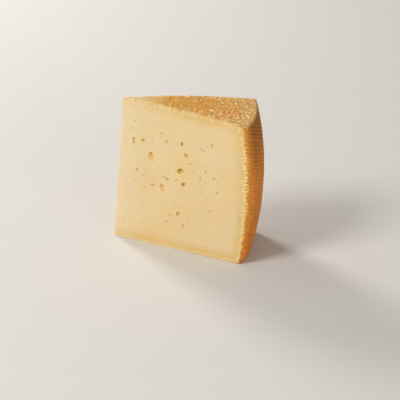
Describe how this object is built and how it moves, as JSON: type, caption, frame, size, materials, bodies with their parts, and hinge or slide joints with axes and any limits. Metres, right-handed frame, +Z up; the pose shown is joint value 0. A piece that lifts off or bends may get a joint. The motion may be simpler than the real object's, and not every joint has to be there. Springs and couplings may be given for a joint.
{
  "type": "sheep milk cheese wedge",
  "caption": "Tall wedge of ripened sheep's milk cheese with a firm pale paste, small scattered eyes, a pebbled top rind and a ribbed, slightly bulging heel.",
  "frame": {"origin": "on the ground, under the middle of the wedge's bounding box", "axes": "+Z up, the height of the wheel; +X from the tip to the rind of the heel; +Y towards the rear cut"},
  "size_m": [0.1184, 0.0682, 0.1208],
  "materials": {
    "cheese": "satin"
  },
  "bodies": {
    "root": {"cheese": "cheese"}
  },
  "joints": []
}
